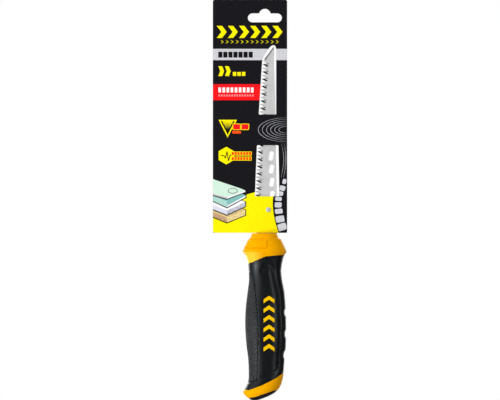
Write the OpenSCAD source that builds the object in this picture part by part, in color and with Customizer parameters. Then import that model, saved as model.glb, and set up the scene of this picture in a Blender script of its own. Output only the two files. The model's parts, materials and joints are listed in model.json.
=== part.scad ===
// Drywall saw (jab saw) hanging in its retail card sleeve.
// Millimetres. The origin is the peg seat at the top of the card's hang slot.
// +Z runs up along the blade to its tip, -Y is the front, and the teeth face -X.

/* [Saw] */
// Length of the blade that stands out of the guard, up to its tip
blade_len = 163.2; // [150:0.1:170]
// Thickness of the blade plate
blade_t = 1.4; // [1:0.1:1.6]
// Distance from one tooth point to the next (8 teeth to 25.4 mm)
tooth_pitch = 3.175; // [2.8:0.005:3.6]
// Depth of the gullets between the teeth
tooth_depth = 4.4; // [3:0.1:5]
// How far a tooth's lower flank falls on its way in to the gullet
tooth_fall = 2.45; // [1.8:0.05:2.8]
// Number of lightening slots along the spine side
slot_count = 4; // [1:1:4]
// Distance from one lightening slot to the next
slot_pitch = 11.5; // [10:0.1:12]
// Length of a lightening slot over its round ends
slot_len = 8.4; // [7:0.1:9]
// Width of a lightening slot
slot_w = 3.8; // [3:0.1:4.5]
// Lean of the lightening slots away from the blade's length, in degrees
slot_lean = 10; // [0:1:15]

/* [Handle] */
// Length of the handle, from the guard's top face to the end of the butt
handle_len = 146.3; // [140:0.1:155]
// Thickness of the soft grip over the hard core
grip_wall = 3; // [2:0.1:3.5]
// Depth of the textured finger pad let into the grip
pad_depth = 1.2; // [0.8:0.1:1.6]
// Number of raised marks in the badge
mark_count = 6; // [3:1:6]
// Distance from one badge mark to the next
mark_pitch = 8.4; // [8:0.1:8.6]
// Height that the badge marks stand proud of the grip
mark_proud = 0.25; // [0.1:0.05:0.4]

/* [Card sleeve] */
// Width of the card
card_w = 65; // [60:0.5:75]
// Height of the card
card_h = 204.2; // [200:0.1:208]
// Thickness of each panel of the card
card_t = 0.8; // [0.5:0.1:1.2]
// Clearance between the blade's face and each panel
card_gap = 0.35; // [0.3:0.05:0.8]
// Width of the glued border that joins the panels
border_w = 4; // [3:0.5:8]
// Radius of the card's corners
corner_r = 2; // [1:0.5:4]
// Width of the hang slot over its round ends
hang_w = 29.7; // [26:0.1:32]
// Height of the hang slot's straight part
hang_h = 7.8; // [6:0.1:9]
// Width of the peg notch above the hang slot
notch_w = 10.2; // [8:0.1:12]
// Diameter of the tack that fastens the sleeve to the saw
tack_d = 4.2; // [3:0.1:6]

/* [Hidden] */
$fn = 64;

// Heights of the main levels above the peg seat
guard_z = -196.4;
card_bottom = guard_z + 0.4;
card_top = card_bottom + card_h;
card_left = -45.5;
tip_z = guard_z + blade_len;
cavity = blade_t / 2 + card_gap;

// Runs of smooth and straight interpolation through rows of [t, value, value, ...]
function row(t, rows, i = 0) =
    (i >= len(rows) - 2 || t < rows[i + 1][0]) ? i : row(t, rows, i + 1);
function slope(rows, i, k) =
    let (a = max(i - 1, 0), b = min(i + 1, len(rows) - 1))
    (rows[b][k] - rows[a][k]) / (rows[b][0] - rows[a][0]);
function smooth(t, rows, k = 1) =
    let (
        i = row(t, rows),
        h = rows[i + 1][0] - rows[i][0],
        u = min(max((t - rows[i][0]) / h, 0), 1),
        u2 = u * u,
        u3 = u2 * u
    )
    (2 * u3 - 3 * u2 + 1) * rows[i][k] + (u3 - 2 * u2 + u) * h * slope(rows, i, k)
    + (3 * u2 - 2 * u3) * rows[i + 1][k] + (u3 - u2) * h * slope(rows, i + 1, k);

// ---- blade ----

// The spine and the line of the tooth points, as x at a height above the guard
function spine_x(h) = 10.8 - 0.0093 * h - 0.0000533 * h * h;
function point_x(h) = -10 + 0.0367 * h + 0.0001156 * h * h;

top_tooth = blade_len - 12.2;
tooth_count = floor((top_tooth - 12) / tooth_pitch);
heel_h = top_tooth - tooth_count * tooth_pitch;
tang_len = 104;
tang_l = -6;
tang_r = 7;
tang_holes = [22, 52, 84];

// One tooth: its point, then the bottom of the gullet below it
function tooth(i) =
    let (h = top_tooth - i * tooth_pitch)
    [[point_x(h), h], [point_x(h - tooth_fall) + tooth_depth, h - tooth_fall]];

blade_outline = concat(
    [[8.2, blade_len - 0.6], [7.7, blade_len], [7.1, blade_len - 0.5]],
    [[-0.6, blade_len - 11.2], [0.4, blade_len - 11.9]],
    [for (i = [0 : tooth_count - 1]) for (p = tooth(i)) p],
    [[point_x(heel_h), heel_h], [point_x(6) + 2.6, 6], [point_x(0) + 3, 0]],
    [[tang_l, -3], [tang_l, -tang_len], [tang_r, -tang_len], [tang_r, -3]],
    [[spine_x(0), 0]],
    [for (h = [20 : 20 : 140]) [spine_x(h), h]],
    [[spine_x(150), 150]]
);

module slot_shape() {
    straight = slot_len - slot_w;
    square([slot_w, straight], center = true);
    for (s = [-1, 1]) translate([0, s * straight / 2]) circle(d = slot_w);
}

module blade() {
    color("silver")
    translate([0, 0, guard_z])
    rotate([90, 0, 0])
    linear_extrude(height = blade_t, center = true)
    difference() {
        polygon(blade_outline);
        for (i = [0 : slot_count - 1])
            translate([5.5 + 0.27 * i, 67.7 - slot_pitch * i])
            rotate(-slot_lean)
            slot_shape();
        for (h = tang_holes) translate([0.5, -h]) circle(d = 6);
    }
}

// ---- handle ----

// Rows of [depth below the guard's top, left edge, right edge, half thickness].
// The guard's rows join with straight lines, the grip's with smooth curves.
guard_rows = [
    [0, -11.3, 10.2, 9.4],
    [4.3, -12.9, 12, 10.8],
    [5, -14.5, 14, 12.2],
    [11.5, -17.7, 17.1, 14.8],
    [15.7, -19.6, 19.2, 15.8],
    [18.5, -17.6, 17.6, 15.1],
    [22, -16, 16.2, 14.2]
];
grip_rows = [
    [26.5, -14.7, 15.3, 13.4],
    [33, -14.2, 14.5, 12.8],
    [41, -14, 15.3, 13.2],
    [51, -15.2, 17.2, 14],
    [66, -16.9, 18.4, 14.9],
    [81, -17.3, 18.8, 15.2],
    [98, -16.2, 18.6, 14.6],
    [109, -14.8, 17.5, 13.6],
    [120, -14.2, 16.7, 12.9],
    [129, -14.6, 15.3, 12.9],
    [135, -17.1, 12.9, 13.4],
    [139, -19.3, 9.3, 13.2]
];
butt_rows = [
    [142.5, -16.6, 3.1, 11],
    [145.2, -13, -3.9, 7],
    [146.3, -10, -8, 2.5]
];

// Depths of the finger grooves across the spine side, and how deep they are
rib_rows = [68.5, 87.8, 106];
rib_depth = 0.7;
function rib(d) = rib_depth * max([0, for (r = rib_rows) 1 - pow((d - r) / 2.4, 2)]);

grip_steps = 40;
grip_span = grip_rows[len(grip_rows) - 1][0] - grip_rows[0][0];
stations = concat(
    guard_rows,
    [for (i = [0 : grip_steps])
        let (d = grip_rows[0][0] + grip_span * i / grip_steps)
        [d, smooth(d, grip_rows, 1), smooth(d, grip_rows, 2) - rib(d), smooth(d, grip_rows, 3)]],
    butt_rows
);
last_station = len(stations) - 1;
grip_start = len(guard_rows);
band_start = grip_start + floor(grip_steps * 0.8);
scale_z = handle_len / 146.3;
section_power = 2.35;

// One cross-section of the handle, drawn in by an inset
function section(s, inset, points) =
    let (
        cx = (s[1] + s[2]) / 2,
        rx = max((s[2] - s[1]) / 2 - inset, 0.3),
        ry = max(s[3] - inset, 0.3)
    )
    [for (i = [0 : points - 1])
        let (c = cos(360 * i / points), v = sin(360 * i / points))
        [
            cx + rx * sign(c) * pow(abs(c), 2 / section_power),
            ry * sign(v) * pow(abs(v), 2 / section_power),
            guard_z - s[0] * scale_z
        ]];

// One skin through a list of cross-sections, from the lowest up
module skin(rows, inset, points) {
    rings = len(rows);
    polyhedron(
        points = [for (k = [rings - 1 : -1 : 0]) for (p = section(rows[k], inset, points)) p],
        faces = concat(
            [[for (i = [0 : points - 1]) i]],
            [[for (i = [points - 1 : -1 : 0]) i + points * (rings - 1)]],
            [for (k = [0 : rings - 2]) for (i = [0 : points - 1])
                let (
                    j = (i + 1) % points,
                    q = [points * k + i, points * k + j, points * (k + 1) + j, points * (k + 1) + i]
                )
                for (f = [[2, 1, 0], [3, 2, 0]]) [q[f[0]], q[f[1]], q[f[2]]]]
        ),
        convexity = 6
    );
}

// The handle's outer body between two stations, and a plainer one drawn in by an inset
module handle_body(first = 0, last = last_station, inset = 0) {
    skin([for (i = [first : last]) stations[i]], inset, 36);
}
module inner_body(inset) {
    picked = [0, 2, 4, for (i = [6 : 3 : last_station - 1]) i, last_station];
    skin([for (i = picked) stations[i]], inset, 24);
}

// Lines where one handle material meets the next, as rows of [x, depth]
guard_line = [[-25, 31.5], [-14.7, 26.6], [-7, 22.8], [0.8, 20.2], [9, 19.2], [17.3, 18.8], [25, 18.6]];
band_line = [[-25, 135.5], [-17.1, 136.6], [-14.2, 137], [-1.8, 132.3], [9.2, 126.8], [15.8, 122.4], [25, 116]];
butt_line = [[-25, 146.6], [-14.2, 144.1], [-8.8, 142.9], [0.4, 139.9], [7.4, 137.4], [12, 136.9], [25, 136.5]];

function line_points(rows) = [for (x = [-24 : 2 : 24]) [x, guard_z - smooth(x, rows) * scale_z]];
function reversed(a) = [for (i = [len(a) - 1 : -1 : 0]) a[i]];

// A slab through the handle between two of those lines
module between(upper, lower) {
    rotate([90, 0, 0])
    linear_extrude(height = 60, center = true)
    polygon(concat(line_points(upper), reversed(line_points(lower))));
}

guard_top_line = [[-25, -5], [25, -5]];
butt_end_line = [[-25, 160], [25, 160]];

// The outline of the textured pad along the finger side, as rows of [depth, x]
pad_rows = [[33.5, -13.8], [35.7, -11], [41, -9.5], [60, -7.2], [80, -5.7], [102, -5.6], [127.6, -6.6]];
pad_top = 33.5;
pad_side = concat(
    [for (d = [pad_top, 34.4, 35.7, 38]) [smooth(d, pad_rows), guard_z - d * scale_z]],
    [for (d = [41 : 4 : 125]) [smooth(d, pad_rows), guard_z - d * scale_z]]
);
module pad_region() {
    rotate([90, 0, 0])
    linear_extrude(height = 60, center = true)
    polygon(concat(
        [[-25, guard_z - 30 * scale_z], [-15, guard_z - 32.5 * scale_z]],
        pad_side,
        [[-6.6, guard_z - 127.6 * scale_z], [-14.5, guard_z - 131.1 * scale_z]],
        [[-25, guard_z - 134 * scale_z]]
    ));
}

// The badge: a row of plain chevrons on the front, all on one backing strip
mark_x = 3.65;
mark_w = 9.5;
mark_h = 6.6;
mark_stroke = 3.4;
mark_first = 54.4 + mark_h / 2;
badge_base = 10.2;
badge_strip = 3;
module mark() {
    peak = mark_h - mark_stroke;
    polygon([
        [-mark_w / 2, -mark_h / 2],
        [0, -mark_h / 2 + peak],
        [mark_w / 2, -mark_h / 2],
        [mark_w / 2, -mark_h / 2 + mark_stroke],
        [0, mark_h / 2],
        [-mark_w / 2, -mark_h / 2 + mark_stroke]
    ]);
}
module badge_region(outer) {
    strip = mark_pitch * (mark_count - 1) + mark_h;
    translate([mark_x, -badge_base, guard_z])
    rotate([90, 0, 0]) {
        for (i = [0 : mark_count - 1])
            translate([0, -mark_first - mark_pitch * i])
            linear_extrude(height = outer)
            mark();
        translate([-1.5, -mark_first - strip + mark_h / 2])
        cube([3, strip, badge_strip]);
    }
}

module handle_core() {
    color("orange")
    difference() {
        union() {
            intersection() {
                handle_body(0, grip_start + 4);
                between(guard_top_line, guard_line);
            }
            intersection() {
                handle_body(band_start, last_station);
                between(band_line, butt_line);
            }
            intersection() {
                inner_body(grip_wall);
                between(guard_top_line, butt_line);
            }
        }
        translate([0, 0, guard_z])
        rotate([90, 0, 0])
        linear_extrude(height = blade_t, center = true)
        difference() {
            polygon([
                [point_x(0) + 3, 1],
                [point_x(0) + 3, 0],
                [tang_l, -3],
                [tang_l, -tang_len],
                [tang_r, -tang_len],
                [tang_r, -3],
                [spine_x(0), 0],
                [spine_x(0), 1]
            ]);
            for (h = tang_holes) translate([0.5, -h]) circle(d = 6);
        }
    }
}

module grip() {
    color([0.07, 0.07, 0.08])
    difference() {
        intersection() {
            handle_body(3, last_station);
            between(guard_line, band_line);
        }
        inner_body(grip_wall);
        difference() {
            pad_region();
            inner_body(pad_depth);
        }
        badge_region(8);
    }
}

module finger_pad() {
    color([0.3, 0.3, 0.32])
    difference() {
        intersection() {
            handle_body(3, last_station);
            between(guard_line, band_line);
            pad_region();
        }
        inner_body(pad_depth);
    }
}

module badge() {
    color("gold")
    difference() {
        intersection() {
            handle_body(grip_start + 5, band_start, -mark_proud);
            badge_region(8);
        }
        inner_body(grip_wall);
    }
}

module butt_pad() {
    color([0.07, 0.07, 0.08])
    intersection() {
        handle_body(band_start, last_station);
        between(butt_line, butt_end_line);
    }
}

// ---- card sleeve ----

module card_outline() {
    w = card_w - 2 * corner_r;
    h = card_h - 2 * corner_r;
    translate([card_left + corner_r, card_bottom + corner_r]) {
        translate([0, -corner_r]) square([w, card_h]);
        translate([-corner_r, 0]) square([card_w, h]);
        for (x = [0, w]) for (z = [0, h]) translate([x, z]) circle(r = corner_r);
    }
}

module hang_slot() {
    straight = hang_w - hang_h;
    translate([0, -4 - hang_h / 2]) {
        square([straight, hang_h], center = true);
        for (s = [-1, 1]) translate([s * straight / 2, 0]) circle(d = hang_h);
    }
    translate([0, -notch_w / 2]) circle(d = notch_w);
}

// Windows that bare the blade's tip and its lightening slots
tip_window = [
    [-5.3, -92.5], [9.9, -92.5], [9.9, -35], [9.4, -32.6], [7.9, -31.5],
    [5.6, -32.3], [3.6, -34.4], [-1.6, -42.8], [-2.2, -46.4]
];
slot_window = [[-8.7, -164], [12.7, -164], [11.9, -119.3], [-6.9, -119.3]];
tack_at = [3, -175.7];

module panel_shape() {
    difference() {
        card_outline();
        hang_slot();
        polygon(tip_window);
        polygon(slot_window);
        translate(tack_at) circle(d = tack_d - 1.2);
    }
}

module panel(y) {
    translate([0, y + card_t, 0])
    rotate([90, 0, 0])
    linear_extrude(height = card_t)
    panel_shape();
}

module card_front() {
    color([0.12, 0.12, 0.13])
    panel(-cavity - card_t);
}

module card_back() {
    color([0.9, 0.9, 0.9]) {
        panel(cavity);
        translate([0, cavity, 0])
        rotate([90, 0, 0])
        linear_extrude(height = 2 * cavity)
        difference() {
            card_outline();
            translate([card_left + border_w, card_bottom - 1])
            square([card_w - 2 * border_w, card_h + 1 - 25]);
            hang_slot();
        }
    }
}

// A round head on the panel, with a short shank set in the panel's hole
module tack(side) {
    translate([tack_at[0], side * (cavity + card_t), tack_at[1]])
    rotate([-90 * side, 0, 0]) {
        cylinder(h = 0.6, d = tack_d);
        translate([0, 0, 0.6]) cylinder(h = 0.3, d1 = tack_d, d2 = tack_d - 1);
        translate([0, 0, -card_t]) cylinder(h = card_t, d = tack_d - 1.2);
    }
}

module tack_front() {
    color([0.75, 0.77, 0.8])
    tack(-1);
}

module tack_back() {
    color([0.75, 0.77, 0.8])
    tack(1);
}

blade();
handle_core();
grip();
finger_pad();
badge();
butt_pad();
card_front();
card_back();
tack_front();
tack_back();
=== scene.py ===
"""Looks for the drywall saw in its hang card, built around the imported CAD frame.

Shapes are worked out in millimetres and written to Blender in metres. Heights on the
handle are depths below the guard's top face; places on the card are measured from the
card's top left corner, u to the right and v down.
"""
import json
import math

import bmesh
import bpy
import numpy as np
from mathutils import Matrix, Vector
from mathutils.geometry import delaunay_2d_cdt


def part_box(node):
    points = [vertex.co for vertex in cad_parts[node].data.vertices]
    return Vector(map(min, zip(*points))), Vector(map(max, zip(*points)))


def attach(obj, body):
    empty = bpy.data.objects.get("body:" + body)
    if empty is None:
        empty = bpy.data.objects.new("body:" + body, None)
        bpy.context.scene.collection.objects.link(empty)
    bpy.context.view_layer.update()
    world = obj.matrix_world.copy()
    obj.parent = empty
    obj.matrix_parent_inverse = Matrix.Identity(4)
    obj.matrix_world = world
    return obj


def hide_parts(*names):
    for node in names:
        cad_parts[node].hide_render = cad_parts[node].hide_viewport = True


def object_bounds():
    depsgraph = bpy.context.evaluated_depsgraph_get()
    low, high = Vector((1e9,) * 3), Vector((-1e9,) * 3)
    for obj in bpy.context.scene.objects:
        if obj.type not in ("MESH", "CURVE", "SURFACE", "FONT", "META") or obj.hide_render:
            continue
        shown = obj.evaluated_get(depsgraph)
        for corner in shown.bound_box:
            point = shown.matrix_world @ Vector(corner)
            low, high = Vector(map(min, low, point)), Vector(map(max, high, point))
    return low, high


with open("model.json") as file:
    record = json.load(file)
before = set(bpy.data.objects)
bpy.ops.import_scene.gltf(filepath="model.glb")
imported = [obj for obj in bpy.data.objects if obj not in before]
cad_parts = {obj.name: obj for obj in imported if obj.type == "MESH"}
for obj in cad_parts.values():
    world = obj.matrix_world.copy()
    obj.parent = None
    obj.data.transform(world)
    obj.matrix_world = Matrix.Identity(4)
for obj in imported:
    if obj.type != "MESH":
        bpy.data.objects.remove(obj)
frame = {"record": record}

MM = 0.001
CAD_LO, CAD_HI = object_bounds()
GUARD_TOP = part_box("handle_core")[1].z / MM
CARD_LO, CARD_HI = (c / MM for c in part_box("card_front"))
BACK_LO, BACK_HI = (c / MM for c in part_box("card_back"))
BLADE_LO, BLADE_HI = (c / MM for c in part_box("blade"))
BLADE_HALF = (BLADE_HI.y - BLADE_LO.y) / 2


# ---- materials ----

AMBER_TINT = (1.0, 0.62, 0.06)
GRIND = (300, 300, 900)
INK_GLOSS = (0.38, 0.48)


def lin(*rgb):
    """An sRGB colour, as printed or moulded, turned to linear."""
    return tuple(c / 12.92 if c <= 0.04045 else ((c + 0.055) / 1.055) ** 2.4
                 for c in (v / 255 for v in rgb))


def bare_tree(owner, output):
    """Clears the nodes of a material or world, and gives its tree with a new output node."""
    owner.use_nodes = True
    tree = owner.node_tree
    tree.nodes.clear()
    return tree, tree.nodes.new(output)


def feed(tree, node, inputs):
    """Links or sets a node's inputs by name, and gives its outputs."""
    for name, value in inputs.items():
        if isinstance(value, bpy.types.NodeSocket):
            tree.links.new(value, node.inputs[name])
        else:
            node.inputs[name].default_value = value
    return node.outputs


def new_node(tree, kind, inputs):
    return feed(tree, tree.nodes.new("ShaderNode" + kind), inputs)


def nodes_of(name):
    """A new material with its tree, its shader and the object's own coordinates."""
    mat = bpy.data.materials.new(name)
    tree, out = bare_tree(mat, "ShaderNodeOutputMaterial")
    bsdf = tree.nodes.new("ShaderNodeBsdfPrincipled")
    feed(tree, out, {"Surface": bsdf.outputs["BSDF"]})
    return mat, tree, bsdf, new_node(tree, "TexCoord", {})["Object"]


def stretched(tree, coord, scale):
    return new_node(tree, "Mapping", {"Vector": coord, "Scale": scale})["Vector"]


def along(tree, coord, axis):
    return new_node(tree, "SeparateXYZ", {"Vector": coord})[axis]


def noise(tree, vector, scale, detail, rough=0.5):
    return new_node(tree, "TexNoise", {"Vector": vector, "Scale": scale, "Detail": detail,
                                       "Roughness": rough})["Fac"]


def fibres(tree, at):
    """The board's fibres under the ink, longest along its height."""
    return noise(tree, stretched(tree, at, (700, 700, 260)), 1.0, 4, 0.65)


def remap(tree, value, low, high, from_low=0.3, from_high=0.7):
    return new_node(tree, "MapRange", {"Value": value, "From Min": from_low, "From Max": from_high,
                                       "To Min": low, "To Max": high})["Result"]


def ramp(tree, value, stops):
    r = tree.nodes.new("ShaderNodeValToRGB")
    tree.links.new(value, r.inputs["Fac"])
    el = r.color_ramp.elements
    while len(el) < len(stops):
        el.new(0.5)
    for e, (place, color) in zip(el, stops):
        e.position = place
        e.color = (*color, 1)
    return r.outputs["Color"]


def mottled(tree, value, color, spread):
    """A colour that drifts a little either way."""
    low = [c * (1 - spread) for c in color]
    high = [min(c * (1 + spread), 1) for c in color]
    return ramp(tree, value, [(0.35, low), (0.65, high)])


def dress(tree, bsdf, color, gloss, height, depth, specular=0.5):
    """Gives the shader its colour, roughness, relief to a depth in mm, and specular level."""
    bump = new_node(tree, "Bump", {"Height": height, "Distance": depth * MM})
    feed(tree, bsdf, {"Base Color": color, "Roughness": gloss, "Normal": bump["Normal"],
                      "Specular IOR Level": specular})


def moulded(name, color, rough, spread, grain, grain_depth, specular, tint=(1, 1, 1)):
    """Moulded plastic or rubber: slow drift of colour and gloss, and a fine sparked grain."""
    mat, tree, bsdf, at = nodes_of(name)
    shade = mottled(tree, noise(tree, at, 60, 3), color, spread)
    gloss = remap(tree, noise(tree, at, 260, 4), rough - 0.05, rough + 0.06)
    dress(tree, bsdf, shade, gloss, noise(tree, at, grain, 2, 0.6), grain_depth, specular)
    bsdf.inputs["Specular Tint"].default_value = (*tint, 1)
    return mat


def glossy_painted_highlight(name, highlight_color, deep, x_highlight, x_plain):
    """The collar's lower face: glossier, with a painted highlight in its colour that is paler towards
    the finger side and fades to plain amber.
    """
    mat, tree, bsdf, at = nodes_of(name)
    drift = remap(tree, noise(tree, at, 120, 3), -0.0006, 0.0006)
    place_x = new_node(tree, "Math", {0: along(tree, at, "X"), 1: drift})["Value"]
    run = remap(tree, place_x, 0, 1, x_highlight * MM, x_plain * MM)
    shade = ramp(tree, run, [(0.0, highlight_color), (0.45, highlight_color), (1.0, deep)])
    gloss = remap(tree, noise(tree, at, 260, 4), 0.26, 0.36)
    dress(tree, bsdf, shade, gloss, noise(tree, at, 1500, 2), 0.006, 0.3)
    bsdf.inputs["Specular Tint"].default_value = (*AMBER_TINT, 1)
    return mat


def steel(name, color, rough, metal, streak=0.05, grain=(900, 900, 30), specular=0.5):
    """Steel: fine streaks, along the blade where it is rolled, and faint clouding."""
    mat, tree, bsdf, at = nodes_of(name)
    lines = noise(tree, stretched(tree, at, grain), 1.0, 4, 0.6)
    shade = mottled(tree, noise(tree, at, 90, 4), color, 0.05)
    gloss = remap(tree, lines, rough - streak, rough + streak)
    dress(tree, bsdf, shade, gloss, lines, 0.006, specular)
    bsdf.inputs["Metallic"].default_value = metal
    return mat


def ink(name, color, rough=0.42, spread=0.03):
    """Printed and varnished board: a little mottle in the ink over the board's fibres."""
    mat, tree, bsdf, at = nodes_of(name)
    fibre = fibres(tree, at)
    shade = mottled(tree, noise(tree, at, 420, 5), color, spread)
    gloss = remap(tree, fibre, rough - 0.04, rough + 0.06)
    dress(tree, bsdf, shade, gloss, fibre, 0.01, 0.09)
    return mat


def specked_ink(name, color, speck, scale):
    """Ink with darker specks, for the drawn board cores."""
    mat, tree, bsdf, at = nodes_of(name)
    grain = noise(tree, stretched(tree, at, (1, 1, 1.8)), scale, 2, 0.6)
    shade = ramp(tree, grain, [(0.0, color), (0.52, color), (0.62, speck)])
    gloss = remap(tree, noise(tree, at, 700, 4), *INK_GLOSS)
    dress(tree, bsdf, shade, gloss, grain, 0.01, 0.09)
    return mat


def faded_ink(name, top, bottom, z_top, z_bottom):
    """Ink that runs from one colour to another down the card."""
    mat, tree, bsdf, at = nodes_of(name)
    fall = remap(tree, along(tree, at, "Z"), 0, 1, z_top * MM, z_bottom * MM)
    shade = ramp(tree, fall, [(0.0, top), (1.0, bottom)])
    fibre = fibres(tree, at)
    dress(tree, bsdf, shade, remap(tree, fibre, *INK_GLOSS), fibre, 0.01, 0.12)
    return mat


def raw_board(name, color):
    """Uncoated board: grey fibres, quite matt."""
    mat, tree, bsdf, at = nodes_of(name)
    fleck = noise(tree, stretched(tree, at, (500, 500, 1400)), 1.0, 6, 0.7)
    dress(tree, bsdf, mottled(tree, fleck, color, 0.07), 0.85, fleck, 0.03)
    return mat


AMBER = moulded("amber_plastic", lin(244, 168, 0), 0.45, 0.04, 1500, 0.012, 0.03, AMBER_TINT)
# The collar's lower face: amber with a painted highlight, paler at the left where the light from the
# lower left would fall
AMBER_PAINTED_HIGHLIGHT = glossy_painted_highlight("amber_glossy_painted_highlight", lin(250, 200, 52), lin(243, 166, 0), -19, -1)
BLACK_RUBBER = moulded("black_rubber", (0.0026, 0.0028, 0.0038), 0.36, 0.2, 2200, 0.02, 0.28,
                       (0.86, 0.95, 1.0))
PAD_RUBBER = moulded("pad_rubber", (0.05, 0.051, 0.055), 0.5, 0.15, 2600, 0.03, 0.1)
BADGE_PLASTIC = moulded("badge_plastic", lin(255, 198, 0), 0.4, 0.04, 1800, 0.01, 0.3, AMBER_TINT)
STEEL = steel("blade_steel", (0.69, 0.69, 0.69), 0.45, 0.4)
# Copies of the blade steel painted dark or grey for the ground facets, bevels and slot walls: painted
# reflection and painted shade, not a different steel
STEEL_PAINTED_DARK = steel("steel_painted_dark", (0.006, 0.006, 0.007), 0.55, 0.3, 0.06, GRIND, 0.12)
STEEL_PAINTED_GREY = steel("steel_painted_grey", (0.42, 0.42, 0.43), 0.5, 0.4, 0.06, GRIND)
BEVEL_PAINTED_SHADE = steel("bevel_painted_shade", (0.075, 0.075, 0.08), 0.5, 0.3, 0.06, GRIND)
TACK_METAL = steel("tack_metal", (0.5, 0.52, 0.54), 0.55, 0.3, 0.04, (600, 600, 600))
CARD_BLACK = ink("ink_black", lin(19, 18, 23), 0.5, 0.12)
CARD_EDGE = raw_board("board_edge", (0.58, 0.57, 0.54))
CARD_BACK = raw_board("board_back", (0.56, 0.54, 0.50))

# Printed colours; "line" is the black of the drawn lines
INK_COLORS = {
    "grey": (203, 204, 209), "yellow": (255, 238, 0), "dull_yellow": (214, 202, 4),
    "line": (14, 13, 16), "red": (252, 22, 30), "orange": (252, 84, 16),
    "white": (246, 246, 246), "pink": (250, 150, 150), "mint": (208, 236, 218),
    "teal": (128, 190, 184), "teal_pale": (172, 214, 204), "mauve": (196, 188, 190),
    "lilac": (218, 218, 232), "lilac_specked": (206, 206, 220), "tan": (222, 196, 140),
    "tan_pale": (232, 214, 152), "brown": (200, 166, 126), "silver": (205, 207, 213),
    "ash": (150, 152, 158), "leaf": (60, 92, 76),
}
SPECKS = {
    "lilac_specked": ((120, 120, 134), 900), "tan": ((190, 150, 100), 500),
    "tan_pale": ((206, 164, 106), 500), "brown": ((160, 120, 90), 500),
}


def make_inks():
    inks = {}
    for key, rgb in INK_COLORS.items():
        if key in SPECKS:
            speck, scale = SPECKS[key]
            inks[key] = specked_ink("ink_" + key, lin(*rgb), lin(*speck), scale)
        else:
            inks[key] = ink("ink_" + key, lin(*rgb), *((0.5, 0.1) if key == "line" else ()))
    return inks


# ---- mesh helpers ----

def new_object(name, data):
    obj = bpy.data.objects.new(name, data)
    bpy.context.scene.collection.objects.link(obj)
    return obj


def new_mesh(name, points, faces, mats, face_mats=None, smooth=False):
    mesh = bpy.data.meshes.new(name)
    mesh.from_pydata([tuple(c * MM for c in p) for p in points], [], faces)
    for m in mats:
        mesh.materials.append(m)
    if face_mats is not None:
        mesh.polygons.foreach_set("material_index", face_mats)
    bm = bmesh.new()
    bm.from_mesh(mesh)
    bmesh.ops.remove_doubles(bm, verts=bm.verts, dist=1e-7)
    bmesh.ops.recalc_face_normals(bm, faces=bm.faces)
    bm.to_mesh(mesh)
    bm.free()
    mesh.polygons.foreach_set("use_smooth", [smooth] * len(mesh.polygons))
    mesh.update()
    return new_object(name, mesh)


def place(obj, body, slot, *nodes):
    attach(obj, body)
    if nodes:
        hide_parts(*nodes)


def soften(obj, width, segments, angle):
    """Rounds the sharp edges with a bevel, applied to the mesh."""
    mod = obj.modifiers.new("soften", "BEVEL")
    mod.width = width * MM
    mod.segments = segments
    mod.limit_method = "ANGLE"
    mod.angle_limit = math.radians(angle)
    mod.use_clamp_overlap = True
    deps = bpy.context.evaluated_depsgraph_get()
    done = bpy.data.meshes.new_from_object(obj.evaluated_get(deps))
    obj.modifiers.clear()
    old = obj.data
    obj.data = done
    bpy.data.meshes.remove(old)
    done.name = obj.name


def grid_faces(rows, cols, wrap_rows=False, wrap_cols=True, start=0):
    faces = []
    for r in range(rows if wrap_rows else rows - 1):
        r2 = (r + 1) % rows
        for c in range(cols if wrap_cols else cols - 1):
            c2 = (c + 1) % cols
            faces.append((start + r * cols + c, start + r * cols + c2,
                          start + r2 * cols + c2, start + r2 * cols + c))
    return faces


def tube_faces(rows, cols):
    """Faces over rings of points, closed at both ends."""
    return grid_faces(rows, cols) + [tuple(range(cols)), tuple(range((rows - 1) * cols, rows * cols))]


def sheet_faces(rows, cols, start=0):
    """Faces of a thick sheet: one grid, a second one behind it, and the rim between them."""
    n = rows * cols
    faces = grid_faces(rows, cols, wrap_cols=False, start=start)
    faces += [f[::-1] for f in grid_faces(rows, cols, wrap_cols=False, start=start + n)]
    ring = (list(range(cols)) + [r * cols + cols - 1 for r in range(1, rows)]
            + [(rows - 1) * cols + c for c in range(cols - 2, -1, -1)]
            + [r * cols for r in range(rows - 2, 0, -1)])
    for a, b in zip(ring, ring[1:] + ring[:1]):
        faces.append((start + a, start + b, start + b + n, start + a + n))
    return faces


def arc(cx, cy, r, a0, a1, n):
    return [(cx + r * math.cos(math.radians(a0 + (a1 - a0) * i / n)),
             cy + r * math.sin(math.radians(a0 + (a1 - a0) * i / n))) for i in range(n + 1)]


def turned(points, degrees, cx, cz):
    """Points turned about the origin, then moved."""
    c, s = math.cos(math.radians(degrees)), math.sin(math.radians(degrees))
    return [(cx + x * c - z * s, cz + x * s + z * c) for x, z in points]


def rounded(points, r, n=4):
    """A polygon with its corners rounded by short curves."""
    out = []
    count = len(points)
    for i in range(count):
        p = Vector(points[i])
        a = Vector(points[i - 1]) - p
        b = Vector(points[(i + 1) % count]) - p
        k = min(r, a.length * 0.45, b.length * 0.45)
        s, e = p + a.normalized() * k, p + b.normalized() * k
        for j in range(n + 1):
            t = j / n
            q = s * (1 - t) ** 2 + p * 2 * t * (1 - t) + e * t * t
            out.append((q.x, q.y))
    return out


def inside(x, z, loops):
    """Whether a point lies within the first loop and outside the others, by counting crossings."""
    hit = False
    for loop in loops:
        for (ax, az), (bx, bz) in zip(loop, loop[1:] + loop[:1]):
            if (az > z) != (bz > z) and x < ax + (bx - ax) * (z - az) / (bz - az):
                hit = not hit
    return hit


def sides(loops):
    """The pairs of indices along closed loops, whose points are numbered in order."""
    pairs, k = [], 0
    for loop in loops:
        pairs += [(k + i, k + (i + 1) % len(loop)) for i in range(len(loop))]
        k += len(loop)
    return pairs


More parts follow.
